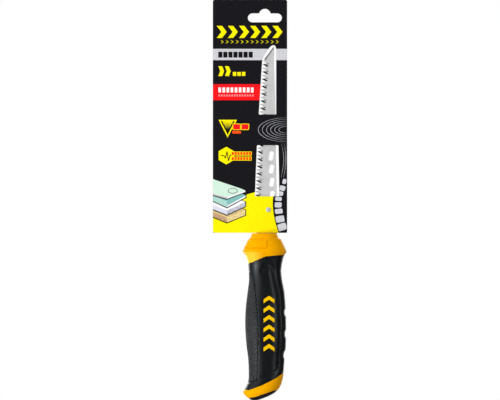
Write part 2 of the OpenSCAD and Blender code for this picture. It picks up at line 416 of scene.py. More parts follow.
def fill(loops):
    """Triangles that fill an outline with holes, as indices into all its points in order."""
    flat = [Vector(p) for loop in loops for p in loop]
    verts, _, tris, origin, _, _ = delaunay_2d_cdt(flat, sides(loops), [], 0, 1e-6)
    out = []
    for t in tris:
        mid = (verts[t[0]] + verts[t[1]] + verts[t[2]]) / 3
        if inside(mid.x, mid.y, loops):
            out.append(tuple(origin[i][0] for i in t))
    return out


def slab(points, holes, y_front, y_back, base=0):
    """Points and faces of a flat plate standing in the XZ plane, with holes: front, back and walls."""
    loops = [points] + list(holes)
    flat = [p for loop in loops for p in loop]
    n = len(flat)
    tris = fill(loops)
    pts = [(x, y, z) for y in (y_front, y_back) for x, z in flat]
    front = [tuple(base + i for i in t) for t in tris]
    back = [tuple(base + n + i for i in reversed(t)) for t in tris]
    walls = [(base + a, base + b, base + n + b, base + n + a) for a, b in sides(loops)]
    return pts, front, back, walls


# ---- handle profile ----

# Rows of depth below the guard's top, left edge, right edge and half thickness
GUARD_ROWS = [
    (0, -11.3, 10.2, 9.4), (4.3, -12.9, 12, 10.8), (5, -14.5, 14, 12.2),
    (11.5, -17.7, 17.1, 14.8), (15.9, -19.6, 19.2, 15.8), (16.6, -19.2, 18.9, 15.7),
    (18.5, -17.6, 17.6, 15.1), (22, -16, 16.2, 14.2),
]
GRIP_ROWS = [
    (26.5, -14.7, 15.3, 13.4), (33, -14.2, 14.5, 12.8), (41, -14, 15.3, 13.2),
    (51, -15.2, 17.2, 14), (66, -16.9, 18.4, 14.9), (81, -17.3, 18.8, 15.2),
    (98, -16.2, 18.6, 14.6), (109, -14.8, 17.5, 13.6), (120, -14.2, 16.7, 12.9),
    (129, -14.6, 15.3, 12.9), (135, -17.1, 12.9, 13.4), (139, -19.3, 9.3, 13.2),
]
BUTT_ROWS = [
    (140.4, -18.5, 7.3, 12.8), (142.5, -16.6, 3.1, 11), (144, -14.9, -0.5, 9.2),
    (145.2, -13, -3.9, 7), (145.9, -11.8, -6.1, 4.8), (146.3, -9.8, -8.2, 1),
]
HANDLE_LEN = 146.3
POWER = 2.35


def smooth_rows(t, rows, k):
    """A smooth curve through the rows, with slopes taken from their neighbours."""
    x = np.array([r[0] for r in rows], float)
    y = np.array([r[k] for r in rows], float)
    each, last = np.arange(len(x)), len(x) - 1
    after, before = np.minimum(each + 1, last), np.maximum(each - 1, 0)
    slope = (y[after] - y[before]) / (x[after] - x[before])
    i = np.clip(np.searchsorted(x, t, side="right") - 1, 0, last - 1)
    h = x[i + 1] - x[i]
    u = np.clip((t - x[i]) / h, 0, 1)
    return ((2 * u**3 - 3 * u**2 + 1) * y[i] + (u**3 - 2 * u**2 + u) * h * slope[i]
            + (3 * u**2 - 2 * u**3) * y[i + 1] + (u**3 - u**2) * h * slope[i + 1])


TABLE_STEP = 0.1
BLEND_STEPS = 3


def profile_tables():
    """Left edge, right edge and half thickness by depth, with the kinks smoothed over a few steps."""
    d = np.arange(0, HANDLE_LEN + TABLE_STEP / 2, TABLE_STEP)
    head, tail = GUARD_ROWS + GRIP_ROWS[:1], GRIP_ROWS[-1:] + BUTT_ROWS
    window = 2 * BLEND_STEPS + 1
    tables = []
    for k in (1, 2, 3):
        guard = np.interp(d, [r[0] for r in head], [r[k] for r in head])
        butt = np.interp(d, [r[0] for r in tail], [r[k] for r in tail])
        v = np.where(d > GRIP_ROWS[-1][0], butt, smooth_rows(d, GRIP_ROWS, k))
        v = np.where(d < GRIP_ROWS[0][0], guard, v)
        padded = np.concatenate([np.full(BLEND_STEPS, v[0]), v, np.full(BLEND_STEPS, v[-1])])
        tables.append(np.convolve(padded, np.ones(window) / window, "valid"))
    return d, tables


DEPTHS, TABLES = profile_tables()


def at_depth(d):
    """Middle, half width and half thickness of the handle's section."""
    left, right, half = (np.interp(d, DEPTHS, table) for table in TABLES)
    return (left + right) / 2, (right - left) / 2, half


def body_point(angle, d, inset=0.0):
    """Points of the handle's skin: x, y, and the outward direction in the section."""
    cx, rx, ry = at_depth(d)
    rx, ry = np.maximum(rx - inset, 0.2), np.maximum(ry - inset, 0.2)
    c, s = np.cos(angle), np.sin(angle)
    e = 2 / POWER
    fx, fy = np.sign(c) * np.abs(c) ** e, np.sign(s) * np.abs(s) ** e
    nx = np.sign(c) * np.abs(fx) ** (POWER - 1) / rx
    ny = np.sign(s) * np.abs(fy) ** (POWER - 1) / ry
    m = np.sqrt(nx * nx + ny * ny) + 1e-9
    return cx + rx * fx, -ry * fy, nx / m, -ny / m


def front_y(x, d):
    """y of the front skin at x and depth d."""
    cx, rx, ry = at_depth(d)
    return -ry * (1 - np.abs((x - cx) / rx) ** POWER) ** (1 / POWER)


# Where one handle material meets the next, as x and depth
GUARD_LINE = [(-25, 31), (-14.7, 26.6), (-7, 23.3), (-0.6, 20.6), (1.4, 20), (9, 19.4),
              (17.3, 18.8), (25, 18.2)]
BAND_LINE = [(-25, 135.5), (-17.1, 136.6), (-14.2, 137), (-1.8, 132.3), (9.2, 126.8),
             (15.8, 122.4), (25, 116)]
BUTT_LINE = [(-25, 146.6), (-14.2, 144.1), (-8.8, 142.9), (0.4, 139.9), (7.4, 137.4),
             (12, 136.9), (25, 136.5)]
# The same lines with the depths between which they run
GUARD_END = (GUARD_LINE, 17, 31)
BAND_START = (BAND_LINE, 110, 140)
BUTT_START = (BUTT_LINE, 130, 146.2)
HALVINGS = 40


def crossing(angles, line, low, high):
    """Depth at which each meridian of the handle meets a line drawn across it."""
    lo, hi = np.full(len(angles), float(low)), np.full(len(angles), float(high))
    for _ in range(HALVINGS):
        mid = (lo + hi) / 2
        x = body_point(angles, mid)[0]
        below = mid > np.interp(x, [p[0] for p in line], [p[1] for p in line])
        hi, lo = np.where(below, mid, hi), np.where(below, lo, mid)
    return (lo + hi) / 2


SKIN_WALL = 2.2
WALL_ROWS = 40


def skin(name, top, bottom, rows, mats, relief=None, cols=256, hollow=False, lip=0.35, knee=None):
    """A closed piece of the handle between two levels, each a depth or a line with its limits.

    Its ends roll in to meet its neighbours. Down to the knee, given as a depth and a share of the
    rows, the rows lie level. A hollow piece has an inner wall that follows the outer one."""
    angles = np.linspace(0, 2 * math.pi, cols, endpoint=False)
    top, bottom = (crossing(angles, *end) if isinstance(end, tuple) else np.full(cols, float(end))
                   for end in (top, bottom))

    def between(k):
        if knee is None:
            return top + lip + (bottom - top - 2 * lip) * k
        low = bottom - lip
        level, share = np.minimum(knee[0], low - 0.3), knee[1]
        if k <= share:
            return top + lip + (level - top - lip) * k / share
        return level + (low - level) * (k - share) / (1 - share)

    roll = [(SKIN_WALL, 0.0), (lip, 0.0), (lip * 0.35, lip * 0.35), (0.0, lip)]
    levels = [(inset, top + off) for inset, off in roll]
    levels += [(0.0, between(k / rows)) for k in range(1, rows)]
    levels += [(inset, bottom - off) for inset, off in reversed(roll)]
    if hollow:
        levels += [(SKIN_WALL, between(k / WALL_ROWS)) for k in range(WALL_ROWS - 1, 0, -1)]
    pts = []
    for inset, d in levels:
        x, y, nx, ny = body_point(angles, d, inset)
        if relief is not None:
            r = relief(x, y, d, nx, ny)
            x, y = x + nx * r, y + ny * r
        pts += [tuple(p) for p in np.stack([x, y, GUARD_TOP - d], 1)]
    count = len(levels)
    faces = grid_faces(count, cols, wrap_rows=True) if hollow else tube_faces(count, cols)
    return new_mesh(name, pts, faces, mats, smooth=True)


def polyline_distance(x, y, points):
    best = np.full(np.shape(x), np.inf)
    for (ax, ay), (bx, by) in zip(points, points[1:]):
        dx, dy = bx - ax, by - ay
        t = np.clip(((x - ax) * dx + (y - ay) * dy) / (dx * dx + dy * dy), 0, 1)
        best = np.minimum(best, np.hypot(x - ax - t * dx, y - ay - t * dy))
    return best


def curve_through(points, n=10):
    """Catmull-Rom points through a few chosen ones."""
    p = [Vector(q) for q in points]
    p = [p[0] * 2 - p[1]] + p + [p[-1] * 2 - p[-2]]
    out = []
    for i in range(1, len(p) - 2):
        for j in range(n):
            t = j / n
            q = 0.5 * ((2 * p[i]) + (p[i + 1] - p[i - 1]) * t
                       + (2 * p[i - 1] - 5 * p[i] + 4 * p[i + 1] - p[i + 2]) * t * t
                       + (3 * p[i] - p[i - 1] - 3 * p[i + 1] + p[i + 2]) * t ** 3)
            out.append((q.x, q.y))
    out.append(tuple(points[-1]))
    return out


def step(value, edge0, edge1):
    t = np.clip((value - edge0) / (edge1 - edge0), 0, 1)
    return t * t * (3 - 2 * t)


def dent(distance, deep, width, power=2):
    """A soft-edged groove of a depth and half width, by the distance from its middle."""
    return deep * np.exp(-(distance / width) ** power)


# ---- handle pieces ----

# The finger pad's right edge, as depth and x, and how its lower end falls towards the finger side
PAD_ROWS = [(33.5, -13.8), (35.7, -11), (41, -9.5), (60, -7.2), (80, -5.7), (102, -5.6),
            (127.6, -6.6)]
PAD_TOP, PAD_LAST = 33.5, 126.9
PAD_FALL, PAD_RUN = 3.5, 7.9
PAD_SINK = 1.0
PAD_GAP, PAD_GAP_TOP, PAD_GAP_END = 0.85, 0.4, 0.5
# The net of grooves: pitch, where a groove's side starts and ends and what counts as its floor
# (as shares of the pitch), height of the diamonds, and level of the grooves' floor. The floor takes the
# black rubber as painted shade.
NET_PITCH = 3.1
NET_SIDE = (0.13, 0.28)
NET_SHADED_FLOOR = 0.21
NET_HEIGHT, NET_LEVEL = 0.6, 0.7
RIM_DROP, RIM_WIDTH = 0.25, 0.6


def pad_edge(d):
    return smooth_rows(d, PAD_ROWS, 1)


def pad_end(x):
    """Depth of the pad's lower end, which runs down towards the finger side."""
    low, edge = PAD_ROWS[-1]
    return low + (edge - x) * PAD_FALL / PAD_RUN


PANEL_LINE = curve_through([(-3.9, 32.6), (-0.5, 30.6), (2.6, 28.8), (4.6, 29.2), (6.2, 31.5),
                            (10.3, 47), (12.6, 56), (13.8, 69), (14.2, 86), (13.2, 102), (12.4, 114)])
PANEL_FOOT = curve_through([(12.4, 114), (10.8, 119), (7, 121.9), (-0.9, 125.6), (-6.1, 127.8)])
# Each as depth and half width of a groove
VALLEY_SHARP, VALLEY_BROAD, FOOT_VALLEY = (0.7, 0.75), (0.7, 3.0), (0.35, 1.6)
# Gaps between the spine's ribs, as level and half width
RIB_GAPS = ((69.2, 2.7), (87.9, 3.0), (106.0, 3.1))
RIB_DEEP = 1.0


def grip_relief(x, y, d, nx, ny):
    """The raised panel's valley, the sunk pad seat and the shallow gaps between the spine's ribs."""
    face = step(np.abs(ny), 0.2, 0.5)
    fade = step(x, -6.0, 0.0)
    gap = polyline_distance(x, d, PANEL_LINE)
    r = -(dent(gap, *VALLEY_SHARP) + dent(gap, *VALLEY_BROAD)) * face * fade
    r -= dent(polyline_distance(x, d, PANEL_FOOT), *FOOT_VALLEY) * face
    within = np.minimum(pad_edge(d) - x, np.minimum(d - PAD_TOP, pad_end(x) - d))
    r -= PAD_SINK * step(within, -0.2, 0.35)
    spine = step(nx, 0.55, 0.95)
    for level, width in RIB_GAPS:
        r -= dent(d - level, RIB_DEEP, width, 4) * spine
    return r


# The collar's raised patch: its right edge, top and foot
PATCH_EDGE, PATCH_TOP, PATCH_FOOT = 2.0, 5.6, 12.4
PATCH_PROUD = 0.6
SCRIBE_LEVEL, SCRIBE = 4.75, (0.95, 0.42)
UNDERCUT_LEVEL, UNDERCUT = 0.3, (0.6, 0.4)
COLLAR_KNEE = (16.2, 0.75)
# Where the amber with the painted highlight covers the collar: below this depth and left of this x
HIGHLIGHT_FROM, HIGHLIGHT_TO_X = 16.3, 1.0


def collar_relief(x, y, d, nx, ny):
    """A scribed groove round the neck, and a raised patch with a groove under it."""
    face = step(np.abs(ny), 0.15, 0.45)
    r = (PATCH_PROUD * step(PATCH_EDGE - x, -0.5, 0.6) * step(PATCH_FOOT - d, 0, 0.3)
         * step(d - PATCH_TOP, 0, 0.9) * face)
    r -= dent(d - SCRIBE_LEVEL, *SCRIBE) * (0.45 + 0.55 * step(-x, -8, 4)) * face
    r -= dent(d - PATCH_FOOT - UNDERCUT_LEVEL, *UNDERCUT) * step(PATCH_EDGE - x, -1.5, 0.5) * face
    return r


def make_guard():
    """The amber collar: neck, flared body and a glossier lower face with a painted highlight."""
    obj = skin("guard_collar", 0, GUARD_END, 120, [AMBER, AMBER_PAINTED_HIGHLIGHT], collar_relief,
               lip=0.3, knee=COLLAR_KNEE)
    # lower left faces of the collar get the amber with the painted highlight
    for face in obj.data.polygons:
        if GUARD_TOP * MM - face.center.z > HIGHLIGHT_FROM * MM and face.center.x < HIGHLIGHT_TO_X * MM:
            face.material_index = 1
    place(obj, "saw", "core_plastic", "handle_core")


def make_band():
    """The amber band round the butt."""
    obj = skin("butt_band", BAND_START, BUTT_START, 40, [AMBER])
    place(obj, "saw", "core_plastic", "handle_core")


def make_grip():
    """The black sleeve between collar and band."""
    obj = skin("grip_sleeve", GUARD_END, BAND_START, 260, [BLACK_RUBBER], grip_relief,
               cols=320, hollow=True)
    place(obj, "saw", "grip_rubber", "grip")


def make_butt_pad():
    """The black crescent under the band."""
    obj = skin("butt_cushion", BUTT_START, HANDLE_LEN, 30, [BLACK_RUBBER])
    place(obj, "saw", "grip_rubber", "butt_pad")


def make_finger_pad():
    """The textured patch: small raised diamonds on a pad sunk into the grip, front round to back; the
    groove floors take the black rubber as painted shade.
    """
    rows, cols = 340, 160
    outer, inner, groove_shade = [], [], []
    u = np.linspace(-1, 1, cols)
    start = PAD_TOP + PAD_GAP_TOP
    for k in range(rows):
        share = k / (rows - 1)
        d0 = start + (PAD_LAST - start) * share
        cx, rx, _ = at_depth(d0)
        reach = np.clip((cx - (pad_edge(d0) - PAD_GAP)) / rx, 0.02, 1)
        edge_angle = math.acos(-(reach ** (POWER / 2)))
        angles = math.pi + u * (math.pi - edge_angle)
        x = body_point(angles, np.full(cols, d0))[0]
        d = start + (pad_end(x) - PAD_GAP_END - start) * share
        x, y, nx, ny = body_point(angles, d)
        around = np.concatenate([[0], np.cumsum(np.hypot(np.diff(x), np.diff(y)))])
        around -= around[cols // 2]
        p, q = (around + d) / NET_PITCH, (around - d) / NET_PITCH
        groove = np.minimum(np.abs(p - np.round(p)), np.abs(q - np.round(q)))
        height = NET_HEIGHT * step(groove, *NET_SIDE) - NET_LEVEL
        groove_shade += [bool(v) for v in groove < NET_SHADED_FLOOR]
        rim = np.minimum(np.minimum(around - around[0], around[-1] - around),
                         np.minimum(d - start, pad_end(x) - PAD_GAP_END - d))
        height -= RIM_DROP * (1 - step(rim, 0, RIM_WIDTH))
        outer.append(np.stack([x + nx * height, y + ny * height, GUARD_TOP - d], 1))
        deep = -PAD_SINK + 0.02
        inner.append(np.stack([x + nx * deep, y + ny * deep, GUARD_TOP - d], 1))
    pts = [tuple(p) for row in outer + inner for p in row]
    faces = sheet_faces(rows, cols)
    n = rows * cols
    # groove floors, walls and the inner sheet take the black rubber; on the groove floors it is painted
    # shade
    mats = [int(all(groove_shade[i % n] for i in f) or f[0] >= n or f[2] >= n) for f in faces]
    obj = new_mesh("finger_pad_net", pts, faces, [PAD_RUBBER, BLACK_RUBBER], mats, smooth=True)
    place(obj, "saw", "pad_rubber", "finger_pad")


MARK_X, MARK_W, MARK_H, MARK_STROKE = 3.65, 9.5, 6.6, 3.4
MARK_FIRST, MARK_PITCH, MARK_COUNT = 54.4 + MARK_H / 2, 8.4, 6
MARK_PROUD, MARK_ROOT = 0.24, -1.2


def make_badge():
    """Six plain chevrons standing just proud of the grip, following its curve."""
    pts, faces = [], []
    across, cols = 4, 17
    for m in range(MARK_COUNT):
        mid = MARK_FIRST + MARK_PITCH * m
        faces += sheet_faces(across + 1, cols, start=len(pts))
        for level in (MARK_PROUD, MARK_ROOT):
            for i in range(across + 1):
                for j in range(cols):
                    s = -1 + 2 * j / (cols - 1)
                    x = MARK_X + s * MARK_W / 2
                    d = (mid + MARK_H / 2 - MARK_STROKE * i / across
                         - (MARK_H - MARK_STROKE) * (1 - abs(s)))
                    pts.append((x, front_y(x, d) - level, GUARD_TOP - d))
    obj = new_mesh("badge_marks", pts, faces, [BADGE_PLASTIC])
    soften(obj, 0.2, 2, 50)
    place(obj, "saw", "badge_plastic", "badge")


# ---- blade ----

BLADE_LEN = BLADE_HI.z - GUARD_TOP
TANG_LEFT, TANG_RIGHT, TANG_TOP, TANG_LEN = -6, 7, -3, 104
TOOTH_PITCH, TOOTH_DEPTH, TOOTH_FALL, TOOTH_SET = 3.175, 4.4, 2.45, 0.4
TOP_TOOTH = BLADE_LEN - 12.2
TOOTH_COUNT = int((TOP_TOOTH - 12) / TOOTH_PITCH)
# Lightening slots: each one's centre, and length and width at mid-thickness and on the faces
SLOTS = [(5.5 + 0.27 * i, 67.7 - 11.5 * i) for i in range(4)]
SLOT_MID, SLOT_FACE, SLOT_LEAN = (8.4, 3.8), (8.7, 4.1), 10
# How far a tooth's face stands back from its point and its root, ground and plain
GROUND_FACET = ((2.3, 0.32), (1.45, 0.85))
PLAIN_FACET = ((0.5, 0.05), (0.3, 0.2))
# A ground gullet's branching mark: from and to, beside the root, half width and depth
BRANCH_FROM, BRANCH_TO, BRANCH_HALF, BRANCH_DEEP = (-0.6, 2.4), (1.3, 3.15), 0.38, 0.2
# Places in the blade's list of materials: DARK, PALE and BEVEL hold the steel painted dark or grey as
# painted reflection and painted shade
PLATE, DARK, PALE, BEVEL = range(4)


def spine_x(h):
    return 10.8 - 0.0093 * h - 0.0000533 * h * h


def point_x(h):
    return -10 + 0.0367 * h + 0.0001156 * h * h


def stadium(cx, cz, length, width, n=10):
    """A slot with round ends that leans away from upright."""
    half = (length - width) / 2
    raw = arc(0, half, width / 2, 0, 180, n) + arc(0, -half, width / 2, 180, 360, n)
    return turned(raw, -SLOT_LEAN, cx, cz)


def draw_blade():
    """Corners of the blade's outline, and the gullets' roots that are ground on each side.

    A corner has its place, how far the front and back faces stand back from it, its y, and the
    materials of the front and back walls that start at it."""
    corners = []

    def plain(x, h, stand_back, mat=PLATE):
        corners.append((x, h, (stand_back, stand_back), 0, (mat, mat)))

    # the oblique sharpened end, from the spine round the tip to its lower corner; its bevel walls take
    # steel painted dark and grey as painted shade
    plain(8.25, BLADE_LEN - 1.2, (-0.1, -0.1))
    plain(7.75, BLADE_LEN, (-0.2, -1.4), BEVEL)
    plain(7.1, BLADE_LEN - 0.6, (0.45, -1.0), BEVEL)
    plain(-0.6, BLADE_LEN - 11.2, (1.15, -0.3), PALE)
    plain(0.3, BLADE_LEN - 11.9, (0.75, -0.1), PALE)
    marks = {-1: [], 1: []}
    for i in range(TOOTH_COUNT):
        h = TOP_TOOTH - i * TOOTH_PITCH
        near = i % 2 == 1
        root = (point_x(h - TOOTH_FALL) + TOOTH_DEPTH, h - TOOTH_FALL)
        at_point, at_root = zip(*((GROUND_FACET, PLAIN_FACET) if near else (PLAIN_FACET, GROUND_FACET)))
        # near teeth have the steel painted dark on the front wall and painted grey on the back, far
        # teeth the reverse: painted reflection and painted shade
        corners.append((point_x(h), h, at_point, TOOTH_SET if near else -TOOTH_SET,
                        (DARK, PALE) if near else (PALE, DARK)))
        corners.append((*root, at_root, 0, (PLATE, PLATE)))
        marks[-1 if near else 1].append(root)
    heel = TOP_TOOTH - TOOTH_COUNT * TOOTH_PITCH
    plain(point_x(heel), heel, (0.3, 0))
    for x, h, stand_back in (
            (point_x(6) + 2.6, 6, (0.1, 0)), (point_x(0) + 3, 0, (0.1, 0)),
            (TANG_LEFT, TANG_TOP, (0.1, 0)), (TANG_LEFT, -TANG_LEN, (0.1, 0.1)),
            (TANG_RIGHT, -TANG_LEN, (-0.1, 0.1)), (TANG_RIGHT, TANG_TOP, (-0.1, 0))):
        plain(x, h, stand_back)
    for h in (0, 20, 40, 60, 80, 100, 120, 140, 150):
        plain(spine_x(h), h, (-0.12, 0))
    return corners, marks


def branch(root):
    """A short ground mark that leaves the gullet's ground facet, up and to the right, and is given the
    steel painted dark as painted shade.
    """
    a, b = (Vector((root[0] + x, root[1] + h)) for x, h in (BRANCH_FROM, BRANCH_TO))
    t = (b - a).normalized()
    n = Vector((-t.y, t.x)) * BRANCH_HALF
    return [tuple(p) for p in (a - n, b - n * 0.6, b + n * 0.6, a + n)]


def make_blade():
    """Plate with alternately ground teeth: every other tooth has its broad ground facet on the front, in
    steel painted dark as a painted reflection; the other walls and the slot walls take steel painted
    grey as painted shade.
    """
    corners, marks = draw_blade()
    wide, tight = ([stadium(x, z, *size) for x, z in SLOTS] for size in (SLOT_FACE, SLOT_MID))
    pts = [(x, y, h + GUARD_TOP) for x, h, _, y, _ in corners]
    pts += [(x, 0, h + GUARD_TOP) for hole in tight for x, h in hole]
    faces, mats = [], []
    for which, side in enumerate((-1, 1)):
        base = len(pts)
        loop = [(x + back[which][0], h + back[which][1]) for x, h, back, _, _ in corners]
        pockets = [branch(root) for root in marks[side]]
        loops = [loop] + wide + pockets
        pts += [(x, side * BLADE_HALF, z + GUARD_TOP) for one in loops for x, z in one]
        tris = fill(loops)
        faces += [tuple(base + i for i in t) for t in tris]
        mats += [PLATE] * len(tris)
        walls = sides([loop] + wide)
        faces += [(a, b, base + b, base + a) for a, b in walls]
        # outline walls take their corner's steel painted dark or grey; slot walls take the painted grey
        # as painted shade
        mats += [corners[a][4][which] if a < len(loop) else PALE for a, _ in walls]
        k = len(walls)
        for one in pockets:
            floor = len(pts)
            pts += [(x, side * (BLADE_HALF - BRANCH_DEEP), z + GUARD_TOP) for x, z in one]
            for i in range(4):
                j = (i + 1) % 4
                faces.append((base + k + i, base + k + j, floor + j, floor + i))
            faces.append(tuple(range(floor, floor + 4)))
            # branch pockets in the steel painted dark: painted shade in a recess
            mats += [DARK] * 5
            k += 4
    obj = new_mesh("saw_blade", pts, faces, [STEEL, STEEL_PAINTED_DARK, STEEL_PAINTED_GREY, BEVEL_PAINTED_SHADE], mats)
    place(obj, "saw", "blade_steel", "blade")


# ---- card ----

CARD_W = CARD_HI.x - CARD_LO.x
CARD_H = CARD_HI.z - CARD_LO.z
CARD_T = CARD_HI.y - CARD_LO.y
CORNER = 2.0
HANG_W, HANG_H, HANG_DROP, NOTCH_R = 29.7, 7.8, 4, 5.1
BORDER_W, BORDER_TOP = 4.0, 25.0
TIP_WINDOW = [(-5.3, -92.5), (9.9, -92.5), (9.9, -35), (9.4, -32.8), (7.9, -31.6), (5.8, -32.2),
              (3.6, -34.4), (-1.6, -42.8), (-2.3, -45), (-2.6, -50)]
SLOT_WINDOW = [(-8.7, -164), (12.7, -164), (11.9, -119.3), (-6.9, -119.3)]


def to_card(u, v):
    """From the card's top left corner, u right and v down, to x and z."""
    return CARD_LO.x + u, CARD_HI.z - v


def corner(u, v, start):
    """A round corner of the card, as a quarter turn about its centre."""
    return arc(u, v, CORNER, start, start + 90, 6)


def hang_slot():
    """A long slot with round ends and a round notch above, its top at the peg seat."""
    half, mid = (HANG_W - HANG_H) / 2, -HANG_DROP - HANG_H / 2
    rise = NOTCH_R - HANG_DROP
    a = math.degrees(math.atan2(rise, math.sqrt(NOTCH_R * NOTCH_R - rise ** 2)))
    return (arc(-half, mid, HANG_H / 2, 90, 270, 12) + arc(half, mid, HANG_H / 2, -90, 90, 12)
            + arc(0, -NOTCH_R, NOTCH_R, a, 180 - a, 16))


def card_loops():
    """The card's outline, and its hang slot and two windows."""
    left, right, top, bottom = CORNER, CARD_W - CORNER, CORNER, CARD_H - CORNER
    pts = (corner(right, top, -90) + corner(right, bottom, 0)
           + corner(left, bottom, 90) + corner(left, top, 180))
    return ([to_card(u, v) for u, v in pts],
            [hang_slot(), rounded(TIP_WINDOW, 1.0), rounded(SLOT_WINDOW, 1.0)])


def make_card_front():
    """The printed front panel."""
    pts, front, back, walls = slab(*card_loops(), CARD_LO.y, CARD_HI.y)
    mats = [0] * len(front) + [2] * len(back) + [1] * len(walls)
    obj = new_mesh("card_face", pts, front + back + walls, [CARD_BLACK, CARD_EDGE, CARD_BACK], mats)
    soften(obj, 0.07, 1, 60)
    place(obj, "card", "card_print", "card_front")


def make_card_back():
    """Rear panel with the glued border that stands forward to meet the front panel."""
    panel_y = BACK_HI.y - CARD_T
    pts, front, back, walls = slab(*card_loops(), panel_y, BACK_HI.y)
    mats = [1] * len(front) + [0] * len(back) + [2] * len(walls)
    inner = CARD_W - BORDER_W
    ring = [(BORDER_W, CARD_H), (0, CARD_H), (0, CORNER)]
    ring += corner(CORNER, CORNER, 180) + corner(CARD_W - CORNER, CORNER, -90)
    ring += [(CARD_W, CARD_H), (inner, CARD_H), (inner, BORDER_TOP), (BORDER_W, BORDER_TOP)]
    ring = [to_card(u, v) for u, v in ring]
    p2, f2, b2, w2 = slab(ring, [hang_slot()], BACK_LO.y, panel_y, base=len(pts))
    faces = front + back + walls + f2 + b2 + w2
    mats += [1] * len(f2 + b2) + [2] * len(w2)
    obj = new_mesh("card_rear", pts + p2, faces, [CARD_BACK, CARD_BACK, CARD_EDGE], mats)
    place(obj, "card", "card_board", "card_back")


def make_tack(name, side, node):
    """A round pressed head, slightly domed, on one panel."""
    lo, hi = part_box(node)
    cx, cz = (lo.x + hi.x) / 2 / MM, (lo.z + hi.z) / 2 / MM
    face = CARD_LO.y if side < 0 else BACK_HI.y
    out = abs((lo.y if side < 0 else hi.y) / MM - face)
    r = (hi.x - lo.x) / 2 / MM
    cols = 48
    rows = [(0.45, -0.6), (r * 0.7, -0.6), (r * 0.7, 0), (r, 0), (r, out * 0.45),
            (r * 0.93, out * 0.72), (r * 0.8, out * 0.86), (r * 0.45, out * 0.97), (0.05, out)]
    pts = []
    for radius, y in rows:
        for c in range(cols):
            a = 2 * math.pi * c / cols
            pts.append((cx + radius * math.cos(a), face + side * y, cz + radius * math.sin(a)))
    obj = new_mesh(name, pts, tube_faces(len(rows), cols), [TACK_METAL], smooth=True)
    place(obj, "card", "tack_metal", node)


# ---- print ----

def strip(u0, v0, u1, v1, r=0.0):
    box = [(u0, v0), (u1, v0), (u1, v1), (u0, v1)]
    return rounded(box, r) if r else box


def shares(u0, u1, count, gap):
    """Starts and ends of equal parts of a run, with gaps between them."""
    w = (u1 - u0 - gap * (count - 1)) / count
    return [(u0 + i * (w + gap), u0 + i * (w + gap) + w) for i in range(count)]


def blocks(u0, v0, u1, v1, count, gap, r=0.25):
    """A row of equal plain blocks."""
    return [strip(a, v0, b, v1, r) for a, b in shares(u0, u1, count, gap)]


def chevrons(u0, v0, u1, v1, count, gap, stroke):
    """A row of plain chevrons pointing right."""
    mid = (v0 + v1) / 2
    return [[(a, v0), (a + stroke, v0), (b, mid), (a + stroke, v1), (a, v1), (b - stroke, mid)]
            for a, b in shares(u0, u1, count, gap)]


def window_edges(window, v):
    """Left and right edge of a window at v, as u."""
    z = CARD_HI.z - v
    xs = []
    for (x0, z0), (x1, z1) in zip(window, window[1:] + window[:1]):
        if (z0 - z) * (z1 - z) <= 0 and z0 != z1:
            xs.append(x0 + (x1 - x0) * (z - z0) / (z1 - z0))
    return min(xs) - CARD_LO.x, max(xs) - CARD_LO.x


def beside_window(window, v0, v1, side, n=14):
    """A band between v0 and v1 from the card's left or right side up to a window's edge."""
    k, u0 = (0, PRINT_INSET) if side == "left" else (1, CARD_W - PRINT_INSET)
    vs = [v0 + (v1 - v0) * i / n for i in range(n + 1)]
    return [(u0, v0)] + [(window_edges(window, v)[k], v) for v in vs] + [(u0, v1)]


def ribbon(points, width, taper=True):
    """A line through a few points, of even width or thinner at its ends."""
    line = [Vector(p) for p in curve_through(points, 8)]
    left, right = [], []
    for i, p in enumerate(line):
        a, b = line[max(i - 1, 0)], line[min(i + 1, len(line) - 1)]
        t = (b - a).normalized()
        w = width / 2 * (math.sin(math.pi * (0.06 + 0.88 * i / (len(line) - 1))) if taper else 1)
        nrm = Vector((-t.y, t.x)) * w
        left.append(tuple(p + nrm))
        right.append(tuple(p - nrm))
    return left + right[::-1]


PRINT_INSET = 0.05
FILM = 0.012
GREY_BAND, RED_BAND = (43.2, 53.1), (74.1, 88.2)
HEX_U, HEX_V, HEX_R = 11.8, 136.6, 7.75
PULSE = [(7.0, 136.6), (9.9, 136.6), (11.0, 139.0), (12.4, 133.0), (13.7, 141.3), (15.2, 136.0),
         (16.3, 136.6)]
FIELD_TOP = [(0.05, 168), (28.8, 171), (36.7, 168.5), (36.75, 172.25), (52.9, 172.25), (52.4, 176),
             (52.4, 181), (53.2, 188), (54.9, 196), (57.4, CARD_H - 0.1)]
LEAF_U, LEAF_V, LEAF_RU, LEAF_RV = 17.4, 167.4, 4.3, 2.5
# Plain tiles down the card's right side: centre, width, height and lean
TILES = ((62.7, 159.2, 3.6, 4.5, 20), (60.9, 165.1, 5.0, 4.4, 16), (59.6, 169.8, 4.0, 3.8, 12),
         (57.4, 174.4, 5.8, 3.6, 4), (57.1, 179.7, 6.0, 4.6, 0), (57.6, 185.3, 6.9, 4.3, -6),
         (58.8, 192.1, 7.5, 5.7, -10), (60.7, 199.0, 7.8, 6.2, -16))
# Nested half ovals at the right side: how many, height of their middle, and the largest one's radii
RIPPLES, RIPPLE_V, RIPPLE_RU, RIPPLE_RV = 6, 114, 25, 10.6

FOLD_U = 12.4
BOARDS = (
    # top face: left height, far corner; rim: left and front height, depth at the left, right and
    # fold; inks of the top face and of the rim's two sides
    (183.0, (28.4, 184.2), 186.0, 190.9, 4.2, 4.4, 4.2, "tan", "brown", "tan_pale"),
    (175.2, (28.4, 177.3), 179.6, 184.4, 3.9, 3.6, 3.7, "white", "lilac", "lilac_specked"),
    (168.6, (28.8, 171.6), 171.0, 176.6, 5.2, 1.3, 1.3, "teal", "teal_pale", "white"),
    (157.2, (28.4, 167.2), 169.9, 173.2, 1.2, 1.2, 1.2, "mint", "mauve", "white"),
)


